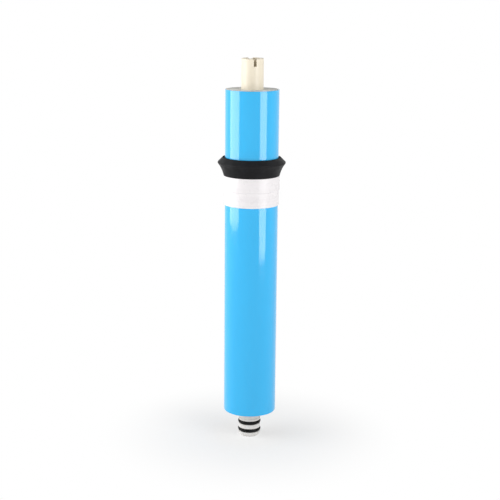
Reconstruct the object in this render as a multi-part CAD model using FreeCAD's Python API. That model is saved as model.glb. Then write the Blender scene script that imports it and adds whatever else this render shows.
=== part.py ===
import FreeCAD, Part
import math
import os

# Reverse-osmosis membrane element of an under-sink water purifier.
#
# One membrane sheet is folded in half round a feed spacer and wound, with a permeate
# carrier, on a perforated centre tube. A film sleeve holds the roll together, a flared
# lip seal closes it against its housing, and two O-rings seal the permeate spigot.
#
# Frame: millimetres, +Z up along the axis, origin in the middle of the spigot's end face.
# A profile is drawn as (radius, height) and turned round the axis.

ORIGIN = FreeCAD.Vector(0, 0, 0)
UP = FreeCAD.Vector(0, 0, 1)
FULL_TURN = 360.0

# Lengths along the axis
OVERALL_LENGTH = 284.0
SPIGOT_LENGTH = 21.0
STUB_LENGTH = 22.0
ROLL_BOTTOM = SPIGOT_LENGTH
ROLL_TOP = OVERALL_LENGTH - STUB_LENGTH
ROLL_LENGTH = ROLL_TOP - ROLL_BOTTOM

# Centre tube
CORE_RADIUS = 7.8
STUB_RADIUS = 8.0
STUB_EDGE = 0.5
BORE_RADIUS = 4.8
BORE_EDGE = 0.6
RECESS_RADIUS = 5.8
RECESS_DEPTH = 13.0
WEB_THICKNESS = 3.5
SLOT_WIDTH = 2.1
SLOT_DEPTH = 5.7
SLOT_FLARE = 1.0
SLOT_TURN = 14.0

# Spigot at the foot of the tube
LAND_RADIUS = 8.15
NOSE_RADIUS = 6.75
NOSE_HEIGHT = 2.0
NECK_RADIUS = 7.3
NECK_BOTTOM = 14.2
NECK_TOP = 19.6
LAND_TOP = 13.6
GROOVE_WIDTH = 3.0
TOOL_OVERREACH = 1.0
LOWER_RING_HEIGHT = 5.0
UPPER_RING_HEIGHT = 11.1
RING_SECTION = 2.4
RING_OUTER_RADIUS = 8.6
RING_CENTRE_RADIUS = RING_OUTER_RADIUS - RING_SECTION / 2
GROOVE_RADIUS = RING_OUTER_RADIUS - RING_SECTION

# Permeate holes, drilled straight through both walls of the tube
HOLE_RADIUS = 1.0
HOLE_STATIONS = 6
HOLE_MARGIN = 28.0

# Wound sheets, from the tube outwards: carrier, membrane, spacer, membrane
WRAP_RADIUS = 19.5
WRAP_THICKNESS = 0.4
ROLL_RADIUS = WRAP_RADIUS - WRAP_THICKNESS
TURNS = 7
PITCH = (ROLL_RADIUS - CORE_RADIUS) / TURNS
CARRIER_THICKNESS = 0.4
MEMBRANE_THICKNESS = 0.2
LEAF_INNER = CARRIER_THICKNESS
SPACER_INNER = LEAF_INNER + MEMBRANE_THICKNESS
SPACER_OUTER = PITCH - MEMBRANE_THICKNESS
FOLD_RADIUS = (PITCH - LEAF_INNER) / 2
GLUE_END_TURN = 315.0

# Brine seal and the tape over its sleeve
SLEEVE_THICKNESS = 0.5
SLEEVE_BOTTOM = 189.8
SLEEVE_RADIUS = WRAP_RADIUS + SLEEVE_THICKNESS
SEAL_TOP = 213.1
LIP_ROOT = 199.9
LIP_ROOT_RADIUS = 20.4
LIP_RADIUS = 24.7
LIP_BOTTOM = 208.9
LIP_TOP = 209.7
LIP_FLARE_RADIUS = 22.2
LIP_FLARE_HEIGHT = 205.0
FACET_TOP_RADIUS = 21.3
RELIEF_WIDTH = 0.9
RELIEF_DEPTH = 5.5
TAPE_THICKNESS = 0.5
TAPE_BOTTOM = 178.5
TAPE_STEP = 189.1


def section(corners):
    """A flat face in the XZ plane with straight sides through (radius, height) corners."""
    points = [FreeCAD.Vector(radius, 0, height) for radius, height in corners]
    return Part.Face(Part.makePolygon(points + points[:1]))


def turned(face):
    """The solid that a half-section sweeps round the axis."""
    return face.revolve(ORIGIN, UP, FULL_TURN)


def ring(inner, outer, bottom, top):
    """A plain tube with square ends."""
    return turned(section([(inner, bottom), (outer, bottom), (outer, top), (inner, top)]))


# --- centre tube ---------------------------------------------------------------------

def tube_outline():
    """The tube's outer profile, from the axis at the spigot's end up to the stub's end."""
    return [
        (0, 0),
        (NOSE_RADIUS, 0),
        (LAND_RADIUS, NOSE_HEIGHT),
        (LAND_RADIUS, LAND_TOP),
        (NECK_RADIUS, NECK_BOTTOM),
        (NECK_RADIUS, NECK_TOP),
        (CORE_RADIUS, ROLL_BOTTOM),
        (CORE_RADIUS, ROLL_TOP),
        (STUB_RADIUS, ROLL_TOP),
        (STUB_RADIUS, OVERALL_LENGTH - STUB_EDGE),
        (STUB_RADIUS - STUB_EDGE, OVERALL_LENGTH),
        (0, OVERALL_LENGTH),
    ]


def o_ring_groove(height):
    """The ring of material turned away to seat one O-ring."""
    half = GROOVE_WIDTH / 2
    return ring(GROOVE_RADIUS, LAND_RADIUS + TOOL_OVERREACH, height - half, height + half)


def permeate_bore():
    """The blind outlet bore, with a bevelled mouth at the spigot's end."""
    bore_top = OVERALL_LENGTH - RECESS_DEPTH - WEB_THICKNESS
    return turned(section([
        (0, 0),
        (BORE_RADIUS + BORE_EDGE, 0),
        (BORE_RADIUS, BORE_EDGE),
        (BORE_RADIUS, bore_top),
        (0, bore_top),
    ]))


def stub_recess():
    """The blind recess in the stub's end."""
    floor = OVERALL_LENGTH - RECESS_DEPTH
    return Part.makeCylinder(RECESS_RADIUS, RECESS_DEPTH, FreeCAD.Vector(0, 0, floor))


def drive_slots():
    """A slot with a flared mouth, straight across the stub's end, for a pulling tool."""
    half = SLOT_WIDTH / 2
    flared = half + SLOT_FLARE
    floor = OVERALL_LENGTH - SLOT_DEPTH
    outline = [
        (-half, floor),
        (half, floor),
        (half, OVERALL_LENGTH - SLOT_FLARE),
        (flared, OVERALL_LENGTH),
        (-flared, OVERALL_LENGTH),
        (-half, OVERALL_LENGTH - SLOT_FLARE),
    ]
    slot = section(outline).extrude(FreeCAD.Vector(0, 2 * WRAP_RADIUS, 0))
    slot.translate(FreeCAD.Vector(0, -WRAP_RADIUS, 0))
    slot.rotate(ORIGIN, UP, SLOT_TURN)
    return slot


def permeate_holes():
    """Cross holes along the wound length, each turned a quarter from the one below."""
    first = ROLL_BOTTOM + HOLE_MARGIN
    spacing = (ROLL_LENGTH - 2 * HOLE_MARGIN) / (HOLE_STATIONS - 1)
    sideways = [FreeCAD.Vector(1, 0, 0), FreeCAD.Vector(0, 1, 0)]
    holes = []
    for station in range(HOLE_STATIONS):
        direction = sideways[station % 2]
        start = FreeCAD.Vector(0, 0, first + station * spacing) - direction * WRAP_RADIUS
        holes.append(Part.makeCylinder(HOLE_RADIUS, 2 * WRAP_RADIUS, start, direction))
    return holes


def permeate_tube():
    """The moulded centre tube: closed stub on top, perforated core, spigot below."""
    blank = turned(section(tube_outline()))
    grooves = [o_ring_groove(LOWER_RING_HEIGHT), o_ring_groove(UPPER_RING_HEIGHT)]
    cuts = grooves + [permeate_bore(), stub_recess(), drive_slots()] + permeate_holes()
    return blank.cut(cuts)


def o_ring(height):
    """An O-ring that rests on the floor of its groove."""
    return Part.makeTorus(RING_CENTRE_RADIUS, RING_SECTION / 2, FreeCAD.Vector(0, 0, height))


# --- wound sheets --------------------------------------------------------------------
#
# Every turn is two half circles: the upper one round the axis, and the lower one round a
# centre half a pitch aside, which carries the sheet out by one pitch. All the sheets share
# these two centres, so each lies flat on its neighbour.

def flat(x, y):
    """A point at the roll's lower end."""
    return FreeCAD.Vector(x, y, ROLL_BOTTOM)


def upper_half(radius, lift=0.0):
    """The half circle round the axis, which may start a little way up from the X axis."""
    start = flat(math.sqrt(radius ** 2 - lift ** 2), lift)
    return Part.Arc(start, flat(0, radius), flat(-radius, 0)).toShape()


def lower_half(radius):
    """The half circle that leads from one turn's radius out to the next turn's."""
    middle = flat(PITCH / 2, -radius - PITCH / 2)
    return Part.Arc(flat(-radius, 0), middle, flat(radius + PITCH, 0)).toShape()


def wound_face(offset, first_turn=0, lift=0.0):
    """The arcs of one face of a sheet, at its offset in the stack, from the tube outwards."""
    arcs = []
    for turn in range(first_turn, TURNS):
        radius = CORE_RADIUS + offset + turn * PITCH
        arcs.append(upper_half(radius, lift if turn == 0 else 0.0))
        if turn < TURNS - 1:
            arcs.append(lower_half(radius))
    return arcs


def first_point(arcs):
    """Where a wound face starts, near the tube."""
    return arcs[0].firstVertex(True).Point


def last_point(arcs):
    """Where a wound face ends, at the outside of the roll."""
    return arcs[-1].lastVertex(True).Point


def outer_end(inner, outer):
    """The cut edge of a sheet at the outside of the roll."""
    return Part.LineSegment(last_point(inner), last_point(outer)).toShape()


def rolled(outer_wire, holes=()):
    """A sheet's wound outline, raised to the full height of the roll."""
    face = Part.Face([outer_wire, *holes])
    return face.extrude(UP * ROLL_LENGTH)


def permeate_carrier():
    """The woven carrier: its lead rings the tube and packs the wedge under the first turn."""
    inner = wound_face(0.0, first_turn=1)
    outer = wound_face(CARRIER_THICKNESS)
    lead_end = Part.LineSegment(first_point(outer), first_point(inner)).toShape()
    outline = Part.Wire(outer + [outer_end(inner, outer)] + inner[::-1] + [lead_end])
    tube_side = Part.Wire(Part.makeCircle(CORE_RADIUS, flat(0, 0), UP))
    return rolled(outline, [tube_side])


def fold(inner, outer, radius):
    """The round turn that joins two faces of the folded leaf, bulging down from them."""
    start = first_point(inner)
    end = first_point(outer)
    nose = (start + end) / 2 - FreeCAD.Vector(0, radius, 0)
    return Part.Arc(start, nose, end).toShape()


def membrane_leaf():
    """One membrane sheet, folded at the tube, whose two arms enclose the feed spacer."""
    faces = [
        wound_face(offset, lift=FOLD_RADIUS)
        for offset in (LEAF_INNER, SPACER_INNER, SPACER_OUTER, PITCH)
    ]
    outside, inside, far_inside, far_outside = faces
    outline = outside + [outer_end(outside, inside)] + inside[::-1]
    outline += [fold(inside, far_inside, FOLD_RADIUS - MEMBRANE_THICKNESS)]
    outline += far_inside + [outer_end(far_inside, far_outside)] + far_outside[::-1]
    outline += [fold(outside, far_outside, FOLD_RADIUS)]
    return rolled(Part.Wire(outline))


def feed_spacer():
    """The feed net between the leaf's two arms, drawn at its full thickness."""
    inner = wound_face(SPACER_INNER, lift=FOLD_RADIUS)
    outer = wound_face(SPACER_OUTER, lift=FOLD_RADIUS)
    start = Part.LineSegment(first_point(inner), first_point(outer)).toShape()
    outline = Part.Wire(inner + [outer_end(inner, outer)] + outer[::-1] + [start])
    return rolled(outline)


def on_circle(centre_x, radius, angle):
    """Where a ray from the axis at this angle meets a circle centred on the X axis."""
    across = centre_x * math.cos(angle)
    reach = across + math.sqrt(across ** 2 - centre_x ** 2 + radius ** 2)
    return flat(reach * math.cos(angle), reach * math.sin(angle))


def part_arc(centre_x, radius, start, end):
    """The stretch of that circle between two rays from the axis."""
    angles = (start, (start + end) / 2, end)
    return Part.Arc(*[on_circle(centre_x, radius, angle) for angle in angles]).toShape()


def end_glue():
    """The adhesive line along the leaf's outer end, which fills the step beside it."""
    start = math.pi
    end = math.radians(GLUE_END_TURN)
    outside = part_arc(0.0, ROLL_RADIUS, start, end)
    inside = part_arc(PITCH / 2, ROLL_RADIUS - PITCH / 2, start, end)
    thick_end = Part.LineSegment(first_point([outside]), first_point([inside])).toShape()
    thin_end = outer_end([outside], [inside])
    return rolled(Part.Wire([outside, thin_end, inside, thick_end]))


def outer_wrap():
    """The film sleeve round the roll."""
    return ring(ROLL_RADIUS, WRAP_RADIUS, ROLL_BOTTOM, ROLL_TOP)


# --- brine seal ----------------------------------------------------------------------

def upright(radius, height):
    """A point of a half-section."""
    return FreeCAD.Vector(radius, 0, height)


def straight(*corners):
    """Straight edges through the corners of a half-section."""
    pairs = zip(corners, corners[1:])
    return [Part.LineSegment(upright(*a), upright(*b)).toShape() for a, b in pairs]


def curved(start, through, end):
    """An arc of a half-section through three (radius, height) points."""
    return Part.Arc(upright(*start), upright(*through), upright(*end)).toShape()


def brine_seal():
    """The rubber lip seal: a thin sleeve on the film, and a lip that flares up and out."""
    sleeve_foot = (WRAP_RADIUS, SLEEVE_BOTTOM)
    lip_root = (LIP_ROOT_RADIUS, LIP_ROOT)
    lip_under = (LIP_RADIUS, LIP_BOTTOM)
    relief_inner = (SLEEVE_RADIUS, SEAL_TOP)
    relief_outer = (SLEEVE_RADIUS + RELIEF_WIDTH, SEAL_TOP)
    relief_floor = (SLEEVE_RADIUS + RELIEF_WIDTH / 2, SEAL_TOP - RELIEF_DEPTH)
    edges = straight(
        (WRAP_RADIUS, SEAL_TOP),
        sleeve_foot,
        (SLEEVE_RADIUS, SLEEVE_BOTTOM),
        (SLEEVE_RADIUS, LIP_ROOT),
        lip_root,
    )
    edges.append(curved(lip_root, (LIP_FLARE_RADIUS, LIP_FLARE_HEIGHT), lip_under))
    edges += straight(
        lip_under,
        (LIP_RADIUS, LIP_TOP),
        (FACET_TOP_RADIUS, SEAL_TOP),
        relief_outer,
        relief_floor,
        relief_inner,
        (WRAP_RADIUS, SEAL_TOP),
    )
    return turned(Part.Face(Part.Wire(edges)))


def seal_tape():
    """The tape band that holds the seal's sleeve down, stepped where it leaves the sleeve."""
    over_film = WRAP_RADIUS + TAPE_THICKNESS
    over_sleeve = SLEEVE_RADIUS + TAPE_THICKNESS
    return turned(section([
        (WRAP_RADIUS, TAPE_BOTTOM),
        (over_film, TAPE_BOTTOM),
        (over_film, TAPE_STEP),
        (over_sleeve, TAPE_STEP + SLEEVE_THICKNESS),
        (over_sleeve, LIP_ROOT),
        (SLEEVE_RADIUS, LIP_ROOT),
        (SLEEVE_RADIUS, SLEEVE_BOTTOM),
        (WRAP_RADIUS, SLEEVE_BOTTOM - SLEEVE_THICKNESS),
    ]))


# --- the whole element ---------------------------------------------------------------

def sub_parts():
    """Every separate piece of the element, by its name."""
    return {
        "permeate_tube": permeate_tube(),
        "o_ring_lower": o_ring(LOWER_RING_HEIGHT),
        "o_ring_upper": o_ring(UPPER_RING_HEIGHT),
        "permeate_carrier": permeate_carrier(),
        "membrane_leaf": membrane_leaf(),
        "feed_spacer": feed_spacer(),
        "end_glue": end_glue(),
        "outer_wrap": outer_wrap(),
        "brine_seal": brine_seal(),
        "seal_tape": seal_tape(),
    }


def write_parts():
    """Write each piece to its own STEP file."""
    os.makedirs("parts", exist_ok=True)
    for node, shape in sub_parts().items():
        shape.exportStep(f"parts/{node}.step")


write_parts()
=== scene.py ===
"""Looks of a slim spiral-wound reverse-osmosis element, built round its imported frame.

The moulded tube, its two O-rings, the wound membrane, the carrier cloth and the glue line
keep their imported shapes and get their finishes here. The film wrap, the lip seal, the tape
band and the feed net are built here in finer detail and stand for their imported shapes.
"""

import logging
import math
from collections.abc import Callable
from dataclasses import dataclass, field
from enum import Enum

import bmesh
import bpy
import numpy as np
from mathutils import Matrix, Vector


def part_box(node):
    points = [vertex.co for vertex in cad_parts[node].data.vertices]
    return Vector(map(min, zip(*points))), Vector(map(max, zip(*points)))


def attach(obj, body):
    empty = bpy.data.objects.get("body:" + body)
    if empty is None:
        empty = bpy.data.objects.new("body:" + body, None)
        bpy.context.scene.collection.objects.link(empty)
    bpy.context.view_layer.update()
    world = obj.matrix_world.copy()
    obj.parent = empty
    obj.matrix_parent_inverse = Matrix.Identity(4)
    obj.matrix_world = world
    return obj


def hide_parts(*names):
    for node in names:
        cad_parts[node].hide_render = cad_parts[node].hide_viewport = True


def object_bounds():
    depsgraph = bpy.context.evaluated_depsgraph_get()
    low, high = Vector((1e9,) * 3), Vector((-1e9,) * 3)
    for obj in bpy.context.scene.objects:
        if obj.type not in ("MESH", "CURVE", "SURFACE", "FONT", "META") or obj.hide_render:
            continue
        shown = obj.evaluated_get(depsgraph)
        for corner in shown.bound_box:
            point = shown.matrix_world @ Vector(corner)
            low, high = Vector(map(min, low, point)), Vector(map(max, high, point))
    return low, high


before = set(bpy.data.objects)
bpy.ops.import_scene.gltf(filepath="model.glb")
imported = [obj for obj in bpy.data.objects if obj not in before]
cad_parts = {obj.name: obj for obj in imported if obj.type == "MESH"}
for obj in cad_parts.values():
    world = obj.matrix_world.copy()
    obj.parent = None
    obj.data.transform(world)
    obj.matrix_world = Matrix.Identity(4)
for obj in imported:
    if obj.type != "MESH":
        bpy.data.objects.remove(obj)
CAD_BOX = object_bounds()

LOG = logging.getLogger("membrane_element")
MM = 0.001
WHITE = (1.0, 1.0, 1.0)

Colour = tuple[float, float, float]
Ripple = Callable[[np.ndarray, np.ndarray, np.ndarray], tuple[np.ndarray, np.ndarray, np.ndarray]]


# --- node trees ----------------------------------------------------------------------


class Sum(Enum):
    """A sum that one node works out."""

    PRODUCT = "MULTIPLY"
    LARGER = "MAXIMUM"
    SINE = "SINE"


class Graph:
    """Adds nodes to a node tree and wires them by socket name."""

    def __init__(self, tree: bpy.types.NodeTree) -> None:
        """Starts from an empty tree."""
        self.tree = tree
        tree.nodes.clear()

    def add(self, kind: str, inputs: dict | None = None, **settings: object) -> bpy.types.Node:
        """Adds one node.

        Args:
            kind: the node's Blender type name.
            inputs: what goes into its sockets, by name: a socket to link, or a plain value.
            settings: the node's own properties.

        Returns:
            The new node.
        """
        node = self.tree.nodes.new(kind)
        for name, value in settings.items():
            setattr(node, name, value)
        for name, value in (inputs or {}).items():
            self.feed(node.inputs[name], value)
        return node

    def feed(self, socket: bpy.types.NodeSocket, value: object) -> None:
        """Links another node's socket into this one, or sets its plain value.

        Args:
            socket: the input to feed.
            value: an output socket, a number or a tuple.
        """
        if isinstance(value, bpy.types.NodeSocket):
            self.tree.links.new(value, socket)
        elif isinstance(value, tuple) and len(socket.default_value) == 4:
            socket.default_value = (*value, 1.0)
        else:
            socket.default_value = value

    def place(self, stretch: Colour = WHITE) -> bpy.types.NodeSocket:
        """Gives the place on the part, in metres.

        Args:
            stretch: how much each axis is scaled before the pattern reads it.

        Returns:
            The scaled coordinate.
        """
        where = self.add("ShaderNodeTexCoord").outputs["Object"]
        mapping = self.add("ShaderNodeMapping", {"Vector": where, "Scale": stretch})
        return mapping.outputs["Vector"]

    def noise(
        self, scale: float, stretch: Colour = WHITE, detail: float = 3.0, warp: float = 0.0
    ) -> bpy.types.NodeSocket:
        """Soft random patches.

        Args:
            scale: how many patches there are to a metre.
            stretch: the scale along each axis.
            detail: how many finer layers there are.
            warp: how far the pattern is bent.

        Returns:
            The patches' strength, mostly from 0.3 to 0.7.
        """
        made = self.add(
            "ShaderNodeTexNoise",
            {"Vector": self.place(stretch), "Scale": scale, "Detail": detail, "Distortion": warp},
        )
        return made.outputs["Fac"]

    def span(
        self, value: bpy.types.NodeSocket, source: tuple[float, float], target: tuple[float, float]
    ) -> bpy.types.NodeSocket:
        """Maps one range of numbers smoothly onto another, and holds it at the ends.

        Args:
            value: the number to map.
            source: its range.
            target: the range that it becomes.

        Returns:
            The mapped number.
        """
        made = self.add(
            "ShaderNodeMapRange",
            {
                "Value": value,
                "From Min": source[0],
                "From Max": source[1],
                "To Min": target[0],
                "To Max": target[1],
            },
            interpolation_type="SMOOTHSTEP",
        )
        return made.outputs["Result"]

    def colour(
        self, share: bpy.types.NodeSocket, under: object, over: object
    ) -> bpy.types.NodeSocket:
        """Lays one colour over another.

        Args:
            share: how much of the upper colour shows.
            under: the lower colour, or its socket.
            over: the upper colour, or its socket.

        Returns:
            The blended colour.
        """
        mix = self.add("ShaderNodeMix", data_type="RGBA", blend_type="MIX")
        factor, lower, upper = mix.inputs[0], mix.inputs[6], mix.inputs[7]
        for socket, value in ((factor, share), (lower, under), (upper, over)):
            self.feed(socket, value)
        return mix.outputs[2]

    def math(self, operation: Sum, *values: object) -> bpy.types.NodeSocket:
        """Works out one number from others.

        Args:
            operation: which sum it is.
            values: numbers or sockets, in order.

        Returns:
            The result.
        """
        node = self.add("ShaderNodeMath", operation=operation.value)
        for socket, value in zip(node.inputs, values):
            self.feed(socket, value)
        return node.outputs[0]

    def axis(self, name: str) -> bpy.types.NodeSocket:
        """One coordinate of the place on the part, X, Y or Z, in metres."""
        where = self.add("ShaderNodeTexCoord").outputs["Object"]
        return self.add("ShaderNodeSeparateXYZ", {"Vector": where}).outputs[name]

    def bump(
        self, height: bpy.types.NodeSocket, depth: float, under: bpy.types.NodeSocket | None = None
    ) -> bpy.types.NodeSocket:
        """Turns a height pattern into fine relief.

        Args:
            height: the pattern.
            depth: how deep it is, in metres.
            under: relief that it lies on.

        Returns:
            The bent normal.
        """
        inputs = {"Height": height, "Distance": depth, "Strength": 1.0}
        if under is not None:
            inputs["Normal"] = under
        return self.add("ShaderNodeBump", inputs).outputs["Normal"]


# --- finishes ------------------------------------------------------------------------


@dataclass(frozen=True)
class Finish:
    """What every finish shares: a shader with its constants, and detail laid over it."""

    name: str
    tone: Colour
    roughness: float
    ior: float = 1.5
    gloss: float = 0.5

    def material(self) -> bpy.types.Material:
        """Makes this finish, or gives the one already made.

        A finish never bears a slot's name, because the frame's plain materials have those.

        Returns:
            The material.
        """
        made = bpy.data.materials.get(self.name)
        if made is not None:
            return made
        made = bpy.data.materials.new(self.name)
        made.use_nodes = True
        graph = Graph(made.node_tree)
        shader = graph.add(
            "ShaderNodeBsdfPrincipled",
            {
                "Base Color": self.tone,
                "Roughness": self.roughness,
                "IOR": self.ior,
                "Specular IOR Level": self.gloss,
            },
        )
        graph.add("ShaderNodeOutputMaterial", {"Surface": shader.outputs["BSDF"]})
        self.dress(graph, shader)
        return made

    def dress(self, graph: Graph, shader: bpy.types.Node) -> None:
        """Lays this finish's own detail on the plain shader.

        Args:
            graph: the material's nodes.
            shader: its Principled shader.
        """
        raise NotImplementedError

    def wear(self, graph: Graph, shader: bpy.types.Node, patches: float, swing: float) -> None:
        """Varies the roughness in soft patches.

        Args:
            graph: the material's nodes.
            shader: its Principled shader.
            patches: how many patches there are to a metre.
            swing: how far the roughness goes each way.
        """
        rough = graph.span(
            graph.noise(patches), (0.3, 0.7), (self.roughness - swing, self.roughness + swing)
        )
        graph.feed(shader.inputs["Roughness"], rough)


@dataclass(frozen=True)
class MouldedPlastic(Finish):
    """Ivory moulded plastic with fine grain, flow marks and a foot greyed by painted shade."""

    # Painted shade: the grey that the foot under the roll fades to, and the heights over which it
    # fades.
    painted_foot_shade_tone: Colour = (0.75, 0.735, 0.72)
    painted_foot_shade_heights: tuple[float, float] = (0.03, 0.2)
    mark_tone: Colour = (0.62, 0.56, 0.46)

    def dress(self, graph: Graph, shader: bpy.types.Node) -> None:
        """Fades ivory into grey towards the foot as painted shade; adds flow marks and grain."""
        # Painted shade: the colour greys towards the foot, where the roll above shades the spigot.
        share = graph.span(graph.axis("Z"), self.painted_foot_shade_heights, (1.0, 0.0))
        base = graph.colour(share, self.tone, self.painted_foot_shade_tone)
        marks = graph.span(graph.noise(90, (1, 1, 0.25), warp=1.5), (0.35, 0.7), (0.0, 0.1))
        shaded = graph.colour(marks, base, self.mark_tone)
        graph.feed(shader.inputs["Base Color"], shaded)
        self.wear(graph, shader, patches=220, swing=0.07)
        grain = graph.bump(graph.noise(2600, detail=2), 4e-6)
        turned = graph.bump(graph.noise(900, (0.1, 0.1, 1)), 6e-6, grain)
        graph.feed(shader.inputs["Normal"], turned)


@dataclass(frozen=True)
class GlossFilm(Finish):
    """Stretched blue film: glossy, with a little haze, rubs and slight waves."""

    shade: Colour = (0.018, 0.46, 0.88)

    def dress(self, graph: Graph, shader: bpy.types.Node) -> None:
        """Varies the blue in long streaks and adds haze, rub marks and slight waves."""
        streaks = graph.span(graph.noise(45, (1, 1, 0.12)), (0.35, 0.7), (0.0, 0.35))
        base = graph.colour(streaks, self.tone, self.shade)
        graph.feed(shader.inputs["Base Color"], base)
        self.wear(graph, shader, patches=70, swing=0.025)
        waves = graph.bump(graph.noise(55, (1, 1, 0.2), detail=1), 2.5e-5)
        skin = graph.bump(graph.noise(1400, detail=2), 6e-7, waves)
        graph.feed(shader.inputs["Normal"], skin)


@dataclass(frozen=True)
class SealRubber(Finish):
    """Black rubber with a soft bloom and moulded grain."""

    bloom: Colour = (0.018, 0.018, 0.02)

    def dress(self, graph: Graph, shader: bpy.types.Node) -> None:
        """Adds the pale bloom, patches of gloss and a pebbled grain."""
        dust = graph.span(graph.noise(160, warp=0.8), (0.4, 0.75), (0.0, 0.6))
        graph.feed(shader.inputs["Base Color"], graph.colour(dust, self.tone, self.bloom))
        self.wear(graph, shader, patches=300, swing=0.08)
        grain = graph.bump(graph.noise(3200, detail=2), 6e-6)
        flow = graph.bump(graph.noise(260, (1, 1, 2)), 2e-5, grain)
        graph.feed(shader.inputs["Normal"], flow)


@dataclass(frozen=True)
class WhiteTape(Finish):
    """Pressed-on white tape with stretch lines round it."""

    shade: Colour = (0.8, 0.765, 0.78)

    def dress(self, graph: Graph, shader: bpy.types.Node) -> None:
        """Adds stretch lines, faint shading and a calendered skin."""
        lines = graph.span(graph.noise(520, (0.04, 0.04, 1)), (0.35, 0.7), (0.0, 0.5))
        graph.feed(shader.inputs["Base Color"], graph.colour(lines, self.tone, self.shade))
        self.wear(graph, shader, patches=240, swing=0.08)
        stretch = graph.bump(graph.noise(700, (0.06, 0.06, 1)), 1.2e-5)
        skin = graph.bump(graph.noise(2400), 3e-6, stretch)
        graph.feed(shader.inputs["Normal"], skin)


@dataclass(frozen=True)
class MembraneSheet(Finish):
    """White membrane on its felted backing."""

    fleck_tone: Colour = (0.74, 0.74, 0.72)

    def dress(self, graph: Graph, shader: bpy.types.Node) -> None:
        """Adds fibre flecks and a felted surface."""
        flecks = graph.span(graph.noise(1300, detail=4), (0.4, 0.7), (0.0, 0.35))
        graph.feed(shader.inputs["Base Color"], graph.colour(flecks, self.tone, self.fleck_tone))
        self.wear(graph, shader, patches=600, swing=0.1)
        graph.feed(shader.inputs["Normal"], graph.bump(graph.noise(3000, detail=4), 1.5e-5))


@dataclass(frozen=True)
class CarrierCloth(Finish):
    """Fine knitted cloth, stiff with resin."""

    rib: float = 1800.0
    # Painted shade: the colour that the knit's grooves are darkened to.
    groove_painted_shade: Colour = (0.66, 0.65, 0.6)

    def dress(self, graph: Graph, shader: bpy.types.Node) -> None:
        """Knits fine ribs and rows across them, paints shade into the grooves, and adds a soft sheen.
        """
        shader.inputs["Sheen Weight"].default_value = 0.15
        shader.inputs["Sheen Roughness"].default_value = 0.5
        rows = graph.math(Sum.SINE, graph.math(Sum.PRODUCT, graph.axis("Z"), self.rib * math.tau))
        ribs = graph.noise(2100, (1, 1, 0.1))
        knit = graph.math(Sum.PRODUCT, graph.span(rows, (-1, 1), (0.4, 1.0)), ribs)
        # Painted shade: where the knit's relief is low, its grooves are darkened.
        shade = graph.span(knit, (0.15, 0.6), (0.5, 0.0))
        graph.feed(shader.inputs["Base Color"], graph.colour(shade, self.tone, self.groove_painted_shade))
        self.wear(graph, shader, patches=500, swing=0.08)
        graph.feed(shader.inputs["Normal"], graph.bump(knit, 2e-5))


@dataclass(frozen=True)
class NetPlastic(Finish):
    """Milky extruded netting."""

    cloud_tone: Colour = (0.66, 0.68, 0.68)

    def dress(self, graph: Graph, shader: bpy.types.Node) -> None:
        """Adds cloudy patches and draw lines."""
        cloud = graph.span(graph.noise(260), (0.35, 0.7), (0.0, 0.4))
        graph.feed(shader.inputs["Base Color"], graph.colour(cloud, self.tone, self.cloud_tone))
        self.wear(graph, shader, patches=420, swing=0.1)
        graph.feed(shader.inputs["Normal"], graph.bump(graph.noise(2200, (1, 1, 0.3)), 8e-6))


@dataclass(frozen=True)
class CuredGlue(Finish):
    """Amber cured adhesive with trapped bubbles."""

    deep_tone: Colour = (0.55, 0.46, 0.28)
    bubbles: float = 1500.0

    def dress(self, graph: Graph, shader: bpy.types.Node) -> None:
        """Adds deeper amber patches and small round pits."""
        deep = graph.span(graph.noise(350, warp=1.0), (0.35, 0.7), (0.0, 0.7))
        graph.feed(shader.inputs["Base Color"], graph.colour(deep, self.tone, self.deep_tone))
        self.wear(graph, shader, patches=500, swing=0.08)
        cells = graph.add("ShaderNodeTexVoronoi", {"Vector": graph.place(), "Scale": self.bubbles})
        pits = graph.span(cells.outputs["Distance"], (0.1, 0.35), (0.0, 1.0))
        graph.feed(shader.inputs["Normal"], graph.bump(pits, 2e-5))


TUBE_PLASTIC = MouldedPlastic("moulded_plastic", (0.9, 0.82, 0.66), 0.4)
BLUE_FILM = GlossFilm("stretched_film", (0.022, 0.495, 0.93), 0.09, ior=1.58)
RUBBER = SealRubber("seal_rubber", (0.009, 0.009, 0.01), 0.5, gloss=0.1)
RING_RUBBER = SealRubber("ring_rubber", (0.004, 0.004, 0.004), 0.34, gloss=0.1)
TAPE = WhiteTape("pressed_tape", (0.87, 0.84, 0.85), 0.32)
MEMBRANE = MembraneSheet("membrane_felt", (0.9, 0.9, 0.88), 0.6)
CLOTH = CarrierCloth("knitted_cloth", (0.86, 0.86, 0.82), 0.8)
NET = NetPlastic("net_plastic", (0.84, 0.86, 0.86), 0.35)
GLUE = CuredGlue("cured_glue", (0.74, 0.66, 0.48), 0.25)


# --- mesh tools ----------------------------------------------------------------------


def smooth_piece(name: str, mesh: bpy.types.Mesh, crease: float = 30.0) -> bpy.types.Object:
    """Puts a mesh in the scene, shaded smooth except along its sharp edges.

    Args:
        name: the piece's name.
        mesh: its mesh, in the part's frame.
        crease: the angle, in degrees, from which an edge stays sharp.

    Returns:
        The new piece.
    """
    mesh.shade_smooth()
    mesh.set_sharp_from_angle(angle=math.radians(crease))
    piece = bpy.data.objects.new(name, mesh)
    bpy.context.scene.collection.objects.link(piece)
    return piece


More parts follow.
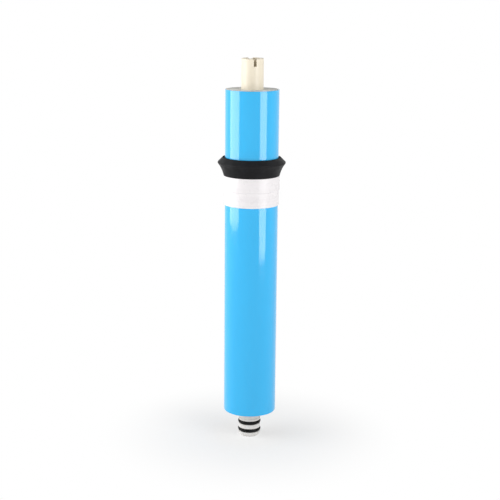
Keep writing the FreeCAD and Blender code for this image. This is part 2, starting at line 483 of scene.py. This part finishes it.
def filleted(
    corners: list[tuple[float, float]], radius: float, segments: int = 4
) -> list[tuple[float, float]]:
    """Rounds the corners of a closed outline.

    Args:
        corners: the outline's corners in order.
        radius: how far from each corner the rounding starts, at most.
        segments: the number of short edges in each rounding.

    Returns:
        The rounded outline's points.
    """
    points = []
    count = len(corners)
    for index, corner in enumerate(corners):
        here = Vector(corner)
        before = Vector(corners[index - 1]) - here
        after = Vector(corners[(index + 1) % count]) - here
        reach = min(radius, before.length * 0.45, after.length * 0.45)
        start = here + before.normalized() * reach
        end = here + after.normalized() * reach
        for step in range(segments + 1):
            t = step / segments
            point = start * (1 - t) ** 2 + here * (2 * t * (1 - t)) + end * t**2
            points.append((point.x, point.y))
    return points


@dataclass
class Lathe:
    """Turns a closed (radius, height) outline round the upright axis."""

    outline: list[tuple[float, float]]
    steps: int = 288
    seam: float | None = None
    seam_width: float = 0.0015

    def angles(self) -> np.ndarray:
        """The angles of the mesh's columns, with two close together at the seam.

        Returns:
            The angles in radians, rising from nought.
        """
        even = np.arange(self.steps) * math.tau / self.steps
        if self.seam is None:
            return even
        kept = even[np.abs(even - self.seam) > 2 * self.seam_width]
        return np.sort(np.append(kept, [self.seam - self.seam_width, self.seam + self.seam_width]))

    def mesh(self, name: str, ripple: Ripple | None = None) -> bpy.types.Mesh:
        """Builds the closed mesh.

        Args:
            name: the mesh's name.
            ripple: bends the angle, radius and height of every point.

        Returns:
            The mesh.
        """
        turn, spot = np.meshgrid(self.angles(), np.arange(len(self.outline)), indexing="ij")
        outline = np.array(self.outline)
        radius, height = outline[spot, 0], outline[spot, 1]
        if ripple is not None:
            turn, radius, height = ripple(turn, radius, height)
        points = np.stack([radius * np.cos(turn), radius * np.sin(turn), height], axis=-1)
        columns, rows = spot.shape
        made = bpy.data.meshes.new(name)
        made.from_pydata(points.reshape(-1, 3).tolist(), [], self.quads(columns, rows))
        made.update()
        return made

    @staticmethod
    def quads(columns: int, rows: int) -> list[tuple[int, int, int, int]]:
        """The faces that close a grid of points both ways round.

        Args:
            columns: how many columns go round the axis.
            rows: how many points the outline has.

        Returns:
            Four point numbers for each face, facing outwards.
        """
        faces = []
        for column in range(columns):
            beside = (column + 1) % columns
            for row in range(rows):
                above = (row + 1) % rows
                faces.append(
                    (
                        column * rows + row,
                        beside * rows + row,
                        beside * rows + above,
                        column * rows + above,
                    )
                )
        return faces


# --- the part ------------------------------------------------------------------------


class Assembly:
    """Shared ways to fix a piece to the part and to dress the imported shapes."""

    body = "root"

    def fix(self, piece: bpy.types.Object, finish: Finish, node: str, slot: str) -> None:
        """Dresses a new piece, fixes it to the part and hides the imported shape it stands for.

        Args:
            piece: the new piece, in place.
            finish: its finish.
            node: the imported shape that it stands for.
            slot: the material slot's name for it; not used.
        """
        piece.data.materials.append(finish.material())
        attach(piece, self.body)
        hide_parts(node)
        LOG.info("%s: %d faces, stands for %s", piece.name, len(piece.data.polygons), node)

    def dress_packed(self, node: str, finish: Finish) -> None:
        """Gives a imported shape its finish.

        Args:
            node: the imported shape.
            finish: its finish.
        """
        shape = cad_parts[node]
        if not shape.material_slots:
            shape.data.materials.append(None)
        for place in shape.material_slots:
            place.link = "OBJECT"
            place.material = finish.material()
        LOG.info("%s: packed shape in %s", node, finish.name)


@dataclass
class CentreTube(Assembly):
    """The moulded tube with its stub, its spigot and the spigot's two O-rings."""

    tube: str = "permeate_tube"
    rings: tuple[str, ...] = ("o_ring_lower", "o_ring_upper")

    def build(self) -> None:
        """Dresses the tube and its rings."""
        self.dress_packed(self.tube, TUBE_PLASTIC)
        for ring in self.rings:
            self.dress_packed(ring, RING_RUBBER)


@dataclass
class FilmWrap(Assembly):
    """The blue film stretched round the roll, with its overlap at the back."""

    node: str = "outer_wrap"
    thickness: float = 0.4 * MM
    edge: float = 0.12 * MM
    rows: int = 150
    seam: float = math.radians(72.0)
    seam_step: float = 0.09 * MM
    trim: float = 0.1 * MM
    slack: float = 0.03 * MM
    taut_above: float = 196 * MM
    slack_grows_over: float = 20 * MM
    bevel: float = 0.3
    creases_round: int = 13
    folds_round: int = 29
    crease_share: float = 0.7
    seam_sway: float = 0.004
    seam_reach: float = 0.01

    def outline(self) -> list[tuple[float, float]]:
        """The film's section: a long outer face cut into rows, and a plain inner face.

        Returns:
            The outline's points.
        """
        low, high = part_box(self.node)
        outer, bottom, top = high.x, low.z, high.z
        inner = outer - self.thickness
        climb = np.linspace(bottom + self.edge, top - self.edge, self.rows)
        face = [(outer, height) for height in climb]
        cut = self.edge * self.bevel
        upper_edge = [(outer - cut, top - cut), (outer - self.edge, top)]
        lower_edge = [(outer - self.edge, bottom), (outer - cut, bottom + cut)]
        return face + upper_edge + [(inner, top), (inner, bottom)] + lower_edge

    def ripple(
        self, turn: np.ndarray, radius: np.ndarray, height: np.ndarray
    ) -> tuple[np.ndarray, np.ndarray, np.ndarray]:
        """Lays the film over itself, slackens it below the seal and trims its ends unevenly.

        Args:
            turn: each point's angle.
            radius: its radius.
            height: its height.

        Returns:
            The bent angle, radius and height.
        """
        low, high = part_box(self.node)
        skin = radius > high.x - 2 * self.edge
        past_seam = np.mod(turn - self.seam, math.tau) / math.tau
        overlap = self.seam_step * (1 - past_seam)
        looseness = np.clip((self.taut_above - height) / self.slack_grows_over, 0.0, 1.0)
        creases = 0.5 + 0.5 * np.sin(self.creases_round * turn + 9 * np.sin(height * 17) + 2.0)
        folds = 0.5 + 0.5 * np.sin(self.folds_round * turn + 5 * np.sin(height * 23 + 1.0))
        dip = self.slack * looseness * (self.crease_share * creases + (1 - self.crease_share) * folds)
        radius = radius - np.where(skin, overlap + dip, 0.0)
        uneven = self.trim * (0.5 + 0.5 * np.sin(3 * turn + 1.0) * np.sin(7 * turn))
        share = (height - low.z) / (high.z - low.z)
        height = height + uneven * (1 - 2 * share)
        by_seam = np.abs(past_seam - 0.5) > 0.5 - self.seam_reach
        sway = self.seam_sway * np.sin(height * 40) * by_seam
        return turn + sway, radius, height

    def build(self) -> None:
        """Builds and dresses the film."""
        lathe = Lathe(self.outline(), steps=360, seam=self.seam)
        piece = smooth_piece("film_wrap", lathe.mesh("film_wrap", self.ripple), crease=40.0)
        self.fix(piece, BLUE_FILM, self.node, "blue_film")


@dataclass
class LipSeal(Assembly):
    """The rubber lip seal: a sleeve under the tape, and a lip that flares up and out."""

    node: str = "brine_seal"
    wrap_radius: float = 19.5 * MM
    sleeve_radius: float = 20.0 * MM
    root: tuple[float, float] = (20.4 * MM, 199.9 * MM)
    flare: tuple[float, float] = (22.2 * MM, 205.0 * MM)
    lip_edge: float = 0.8 * MM
    lip_under: float = 208.9 * MM
    facet_radius: float = 21.3 * MM
    relief_width: float = 0.9 * MM
    relief_depth: float = 5.5 * MM
    rounding: float = 0.28 * MM

    def underside(self, lip: tuple[float, float], pieces: int = 12) -> list[tuple[float, float]]:
        """The hollow curve from the lip's root to its edge.

        Args:
            lip: where the curve ends.
            pieces: how many straight steps it takes.

        Returns:
            The points between the root and the lip.
        """
        start, middle, end = Vector(self.root), Vector(self.flare), Vector(lip)
        pull = middle * 2 - (start + end) / 2
        steps = [index / pieces for index in range(1, pieces)]
        curve = [start * (1 - t) ** 2 + pull * (2 * t * (1 - t)) + end * t**2 for t in steps]
        return [(point.x, point.y) for point in curve]

    def outline(self) -> list[tuple[float, float]]:
        """The seal's section, with its corners rounded as a mould leaves them.

        Returns:
            The outline's points.
        """
        low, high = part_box(self.node)
        lip, bottom, top = high.x, low.z, high.z
        under = (lip, self.lip_under)
        corners = [
            (self.wrap_radius, top),
            (self.wrap_radius, bottom),
            (self.sleeve_radius, bottom),
            (self.sleeve_radius, self.root[1]),
            self.root,
            *self.underside(under),
            under,
            (lip, self.lip_under + self.lip_edge),
            (self.facet_radius, top),
            (self.sleeve_radius + self.relief_width, top),
            (self.sleeve_radius + self.relief_width / 2, top - self.relief_depth),
            (self.sleeve_radius, top),
        ]
        return filleted(corners, self.rounding)

    def build(self) -> None:
        """Builds and dresses the seal."""
        mesh = Lathe(self.outline()).mesh("lip_seal")
        self.fix(smooth_piece("lip_seal", mesh, crease=50.0), RUBBER, self.node, "black_rubber")


@dataclass
class TapeBand(Assembly):
    """White tape over the seal's sleeve, stepped down onto the film below it."""

    node: str = "seal_tape"
    wrap_radius: float = 19.5 * MM
    sleeve_radius: float = 20.0 * MM
    thickness: float = 0.5 * MM
    step_height: float = 189.1 * MM
    rounding: float = 0.16 * MM
    seam: float = math.radians(125.0)
    seam_step: float = 0.14 * MM
    waver: float = 0.09 * MM
    slope_above: float = 1.4
    slope_below: float = 0.6

    def outline(self) -> list[tuple[float, float]]:
        """The band's section, two steps high.

        Returns:
            The outline's points.
        """
        low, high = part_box(self.node)
        bottom, top = low.z, high.z
        over_film = self.wrap_radius + self.thickness
        over_sleeve = high.x
        rise = self.sleeve_radius - self.wrap_radius
        middle = (bottom + self.step_height) / 2
        corners = [
            (self.wrap_radius, bottom),
            (over_film, bottom),
            (over_film, middle),
            (over_film, self.step_height),
            (over_sleeve, self.step_height + rise),
            (over_sleeve, top),
            (self.sleeve_radius, top),
            (self.sleeve_radius, self.step_height + self.slope_above * rise),
            (self.wrap_radius, self.step_height - self.slope_below * rise),
        ]
        return filleted(corners, self.rounding)

    def ripple(
        self, turn: np.ndarray, radius: np.ndarray, height: np.ndarray
    ) -> tuple[np.ndarray, np.ndarray, np.ndarray]:
        """Winds the band over its own end and lets its edges waver.

        Args:
            turn: each point's angle.
            radius: its radius.
            height: its height.

        Returns:
            The bent angle, radius and height.
        """
        low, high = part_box(self.node)
        outside = radius > np.where(height > self.step_height, self.sleeve_radius, self.wrap_radius)
        past_seam = np.mod(turn - self.seam, math.tau) / math.tau
        radius = radius - np.where(outside, self.seam_step * (1 - past_seam) ** 3, 0.0)
        wave = self.waver * (0.5 + 0.3 * np.sin(2 * turn + 0.6) + 0.2 * np.sin(5 * turn))
        share = np.clip((high.z - height) / (high.z - low.z), 0.0, 1.0)
        return turn, radius, height + wave * share

    def build(self) -> None:
        """Builds and dresses the band."""
        lathe = Lathe(self.outline(), seam=self.seam)
        piece = smooth_piece("tape_band", lathe.mesh("tape_band", self.ripple), crease=40.0)
        self.fix(piece, TAPE, self.node, "white_tape")


@dataclass(frozen=True)
class Winding:
    """The path of the wound sheets: half circles about two centres, half a pitch apart."""

    core_radius: float
    pitch: float
    turns: int

    def arcs(self, offset: float) -> np.ndarray:
        """The half circles that a line in the winding follows, from the tube outwards.

        Args:
            offset: the line's place in the stack of sheets.

        Returns:
            A row for each: its centre's X, its radius, its first angle and its first length.
        """
        rows, passed = [], 0.0
        for turn in range(self.turns):
            radius = self.core_radius + offset + turn * self.pitch
            rows.append((0.0, radius, 0.0, passed))
            passed += math.pi * radius
            if turn < self.turns - 1:
                rows.append((self.pitch / 2, radius + self.pitch / 2, math.pi, passed))
                passed += math.pi * (radius + self.pitch / 2)
        return np.array(rows)

    def length(self, offset: float) -> float:
        """How long a line in the winding is."""
        last = self.arcs(offset)[-1]
        return float(last[3] + math.pi * last[1])

    def places(self, offset: float, lengths: np.ndarray) -> np.ndarray:
        """Places on a line in the winding.

        Args:
            offset: the line's place in the stack of sheets.
            lengths: how far along the line each place is, from the tube.

        Returns:
            Their X and Y, a row each.
        """
        arcs = self.arcs(offset)
        which = np.searchsorted(arcs[:, 3], lengths, side="right") - 1
        centre, radius, start, passed = arcs[np.clip(which, 0, len(arcs) - 1)].T
        angle = start + (lengths - passed) / radius
        return np.stack([centre + radius * np.cos(angle), radius * np.sin(angle)], axis=-1)


@dataclass
class Faces:
    """Points and faces gathered from many closed pieces of one mesh."""

    points: list[np.ndarray] = field(default_factory=list)
    faces: list[tuple[int, ...]] = field(default_factory=list)
    count: int = 0

    def add(self, rings: np.ndarray) -> None:
        """Adds a closed bar.

        Args:
            rings: its cross-sections in order, each a closed ring of points.
        """
        number, sides, _ = rings.shape
        first = self.count
        for ring in range(number - 1):
            here = first + ring * sides
            for side in range(sides):
                beside = (side + 1) % sides
                faces = (here + side, here + beside, here + sides + beside, here + sides + side)
                self.faces.append(faces)
        last = first + (number - 1) * sides
        self.faces.append(tuple(range(first + sides - 1, first - 1, -1)))
        self.faces.append(tuple(range(last, last + sides)))
        self.points.append(rings.reshape(-1, 3))
        self.count += number * sides

    def mesh(self, name: str) -> bpy.types.Mesh:
        """Builds the mesh from what was gathered.

        Args:
            name: the mesh's name.

        Returns:
            The mesh, with its faces turned outwards.
        """
        made = bpy.data.meshes.new(name)
        made.from_pydata(np.concatenate(self.points).tolist(), [], self.faces)
        shell = bmesh.new()
        shell.from_mesh(made)
        bmesh.ops.recalc_face_normals(shell, faces=shell.faces)
        shell.to_mesh(made)
        shell.free()
        return made


@dataclass
class WoundRoll(Assembly):
    """The wound sheets: membrane leaf, carrier cloth, glue line and feed net."""

    node: str = "feed_spacer"
    core_radius: float = 7.8 * MM
    turns: int = 7
    net_inner: float = 0.6 * MM
    leaf: float = 0.2 * MM
    mesh_width: float = 2.6 * MM
    fringe: float = 9.0 * MM
    slope: float = 0.8
    sides: int = 6
    levels: int = 6
    free_end: float = 1.5 * MM
    sheet_step: float = 0.8 * MM
    packed: dict[str, Finish] = field(
        default_factory=lambda: {
            "permeate_carrier": CLOTH,
            "membrane_leaf": MEMBRANE,
            "end_glue": GLUE,
        }
    )

    def winding(self) -> Winding:
        """The path that the sheets follow, from the roll's packed size.

        Returns:
            The winding.
        """
        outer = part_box("membrane_leaf")[1].y
        return Winding(self.core_radius, (outer - self.core_radius) / self.turns, self.turns)

    def strand_rings(self, path: np.ndarray, radius: float) -> np.ndarray:
        """The cross-sections of one round strand.

        Args:
            path: the strand's centre line, a row for each point.
            radius: the strand's radius.

        Returns:
            A ring of points for each point of the line.
        """
        ahead = np.gradient(path, axis=0)
        outward = path * (1.0, 1.0, 0.0)
        outward /= np.linalg.norm(outward, axis=1, keepdims=True)
        side = np.cross(ahead, outward)
        side /= np.linalg.norm(side, axis=1, keepdims=True)
        spokes = np.arange(self.sides) * math.tau / self.sides
        across = outward[:, None] * np.cos(spokes)[None, :, None]
        along = side[:, None] * np.sin(spokes)[None, :, None]
        return path[:, None] + (across + along) * radius

    def fringe_strands(self, gathered: Faces, winding: Winding, foot: float) -> None:
        """Adds the two crossing layers of strands at one end of the net.

        Args:
            gathered: where the strands go.
            winding: the path of the sheets.
            foot: the height where this end's strands start.
        """
        net_outer = winding.pitch - self.leaf
        radius = (net_outer - self.net_inner) / 4
        levels = np.linspace(0.0, self.fringe, self.levels)
        for offset, lean in (
            (self.net_inner + radius, self.slope),
            (net_outer - radius, -self.slope),
        ):
            whole = winding.length(offset)
            for first in np.arange(-self.fringe, whole + self.fringe, self.mesh_width):
                lengths = first + lean * levels
                kept = (lengths > self.free_end) & (lengths < whole - self.free_end)
                if kept.sum() < 2:
                    continue
                places = winding.places(offset, lengths[kept])
                path = np.column_stack([places, foot + levels[kept]])
                gathered.add(self.strand_rings(path, radius))

    def middle_sheet(self, gathered: Faces, winding: Winding, bottom: float, top: float) -> None:
        """Adds the hidden middle of the net, between its two fringes, as a plain sheet.

        Args:
            gathered: where the sheet goes.
            winding: the path of the sheets.
            bottom: the sheet's lower edge.
            top: its upper edge.
        """
        net_outer = winding.pitch - self.leaf
        inset = (net_outer - self.net_inner) / 4
        edges = []
        for offset, level in (
            (self.net_inner + inset, bottom),
            (net_outer - inset, bottom),
            (net_outer - inset, top),
            (self.net_inner + inset, top),
        ):
            whole = winding.length(offset)
            steps = int(winding.length(self.net_inner) / self.sheet_step)
            lengths = np.linspace(self.free_end, whole - self.free_end, steps)
            places = winding.places(offset, lengths)
            edges.append(np.column_stack([places, np.full(steps, level)]))
        gathered.add(np.stack(edges, axis=1))

    def feed_net(self) -> bpy.types.Object:
        """Builds the net: crossed strands at both ends and its hidden middle.

        Returns:
            The net.
        """
        low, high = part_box(self.node)
        winding, gathered = self.winding(), Faces()
        self.middle_sheet(gathered, winding, low.z + self.fringe, high.z - self.fringe)
        for foot in (low.z, high.z - self.fringe):
            self.fringe_strands(gathered, winding, foot)
        return smooth_piece("feed_net", gathered.mesh("feed_net"), crease=50.0)

    def build(self) -> None:
        """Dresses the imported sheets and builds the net."""
        for node, finish in self.packed.items():
            self.dress_packed(node, finish)
        self.fix(self.feed_net(), NET, self.node, "spacer_net")


# --- studio --------------------------------------------------------------------------


@dataclass(frozen=True)
class SoftBox:
    """A soft rectangular light on a stand, facing the part's axis."""

    name: str
    azimuth: float
    distance: float
    bottom: float
    top: float
    width: float
    radiance: float

    def place(self) -> None:
        """Hangs the light at its place and sets its power from the brightness it shows."""
        height = self.top - self.bottom
        lamp = bpy.data.lights.new(self.name, "AREA")
        lamp.shape = "RECTANGLE"
        lamp.size = self.width
        lamp.size_y = height
        lamp.energy = self.radiance * math.pi * self.width * height
        stand = bpy.data.objects.new(self.name, lamp)
        turn = math.radians(self.azimuth)
        away = Vector((math.sin(turn), -math.cos(turn), 0.0))
        stand.location = away * self.distance + Vector((0, 0, (self.top + self.bottom) / 2))
        stand.rotation_euler = away.to_track_quat("Z", "Y").to_euler()
        stand.visible_camera = False
        bpy.context.scene.collection.objects.link(stand)
        LOG.info("%s: soft light", self.name)


@dataclass(frozen=True)
class Floor:
    """A pale floor that keeps the part's shadow and fades into a white surround."""

    radius: float = 3.0
    paint: Colour = (0.86, 0.86, 0.86)
    shadow_ends: tuple[float, float] = (0.01, 0.12)
    shadow_share: float = 0.4

    def seen_directly(self, graph: Graph) -> bpy.types.NodeSocket:
        """One where the surround is seen, in a mirror or through glass too, and else nought."""
        path = graph.add("ShaderNodeLightPath").outputs
        seen = graph.math(Sum.LARGER, path["Is Camera Ray"], path["Is Glossy Ray"])
        return graph.math(Sum.LARGER, seen, path["Is Transmission Ray"])

    def material(self) -> bpy.types.Material:
        """Makes the floor's paint.

        Returns:
            The material.
        """
        made = bpy.data.materials.new("floor_paint")
        made.use_nodes = True
        graph = Graph(made.node_tree)
        speckle = graph.colour(graph.noise(400), self.paint, (0.9, 0.9, 0.9))
        painted = graph.add("ShaderNodeBsdfDiffuse", {"Color": speckle})
        glow = graph.add("ShaderNodeEmission", {"Color": WHITE, "Strength": 1.0})
        where = graph.add("ShaderNodeTexCoord").outputs["Object"]
        away = graph.add("ShaderNodeVectorMath", {0: where}, operation="LENGTH").outputs["Value"]
        far = graph.span(away, self.shadow_ends, (1 - self.shadow_share, 1.0))
        share = graph.math(Sum.PRODUCT, far, self.seen_directly(graph))
        mixed = graph.add("ShaderNodeMixShader")
        graph.feed(mixed.inputs[0], share)
        graph.feed(mixed.inputs[1], painted.outputs["BSDF"])
        graph.feed(mixed.inputs[2], glow.outputs["Emission"])
        graph.add("ShaderNodeOutputMaterial", {"Surface": mixed.outputs["Shader"]})
        return made

    def build(self) -> None:
        """Lays the floor under the part."""
        sides = 96
        level = CAD_BOX[0].z
        angles = [math.tau * index / sides for index in range(sides)]
        ring = [(self.radius * math.cos(a), self.radius * math.sin(a), level) for a in angles]
        mesh = bpy.data.meshes.new("floor")
        mesh.from_pydata(ring, [], [tuple(range(sides))])
        floor = bpy.data.objects.new("floor", mesh)
        mesh.materials.append(self.material())
        bpy.context.scene.collection.objects.link(floor)
        LOG.info("floor: %d sides", sides)


@dataclass(frozen=True)
class Surround:
    """Even light from all round, and the white that it is seen as."""

    strength: float = 0.22

    def build(self) -> None:
        """Sets the world's light."""
        world = bpy.data.worlds.new("surround")
        world.use_nodes = True
        bpy.context.scene.world = world
        graph = Graph(world.node_tree)
        seen = Floor().seen_directly(graph)
        strength = graph.add("ShaderNodeMapRange", {"Value": seen, "To Min": self.strength})
        glow = graph.add(
            "ShaderNodeBackground", {"Color": WHITE, "Strength": strength.outputs["Result"]}
        )
        graph.add("ShaderNodeOutputWorld", {"Surface": glow.outputs["Background"]})
        LOG.info("surround: strength %.2f", self.strength)


@dataclass(frozen=True)
class PictureCamera:
    """A long lens a little above the part's top, tilted down at its middle."""

    lens: float = 84.29
    distance: float = 842.3 * MM
    above_top: float = 51.6 * MM
    tilt: float = 12.82
    roll: float = 0.52
    aim_aside: float = 0.045

    def place(self) -> None:
        """Sets the camera at its stand."""
        data = bpy.data.cameras.new("picture_camera")
        data.lens = self.lens
        data.clip_start = 0.02
        data.clip_end = 20.0
        camera = bpy.data.objects.new("picture_camera", data)
        height = CAD_BOX[1].z + self.above_top
        aim = Matrix.Rotation(math.radians(self.aim_aside), 4, "Z")
        tilt = Matrix.Rotation(math.radians(90 - self.tilt), 4, "X")
        roll = Matrix.Rotation(math.radians(self.roll), 4, "Z")
        camera.matrix_world = Matrix.Translation((0, -self.distance, height)) @ aim @ tilt @ roll
        bpy.context.scene.collection.objects.link(camera)
        bpy.context.scene.camera = camera
        LOG.info("picture_camera: %.1f mm lens", self.lens)


LIGHTS = (
    SoftBox(
        "left_box", azimuth=-80.0, distance=0.60, bottom=0.04, top=0.62, width=0.55, radiance=4.4
    ),
    SoftBox(
        "right_box", azimuth=49.0, distance=0.52, bottom=0.02, top=0.60, width=0.28, radiance=4.4
    ),
)


def main() -> None:
    """Builds the part's pieces in order, then the studio round them."""
    logging.basicConfig(level=logging.INFO, format="%(name)s: %(message)s")
    for assembly in (CentreTube(), WoundRoll(), FilmWrap(), LipSeal(), TapeBand()):
        assembly.build()
    Floor().build()
    Surround().build()
    for light in LIGHTS:
        light.place()
    PictureCamera().place()
    bpy.context.scene.view_settings.view_transform = "Standard"


if __name__ == "__main__":
    main()
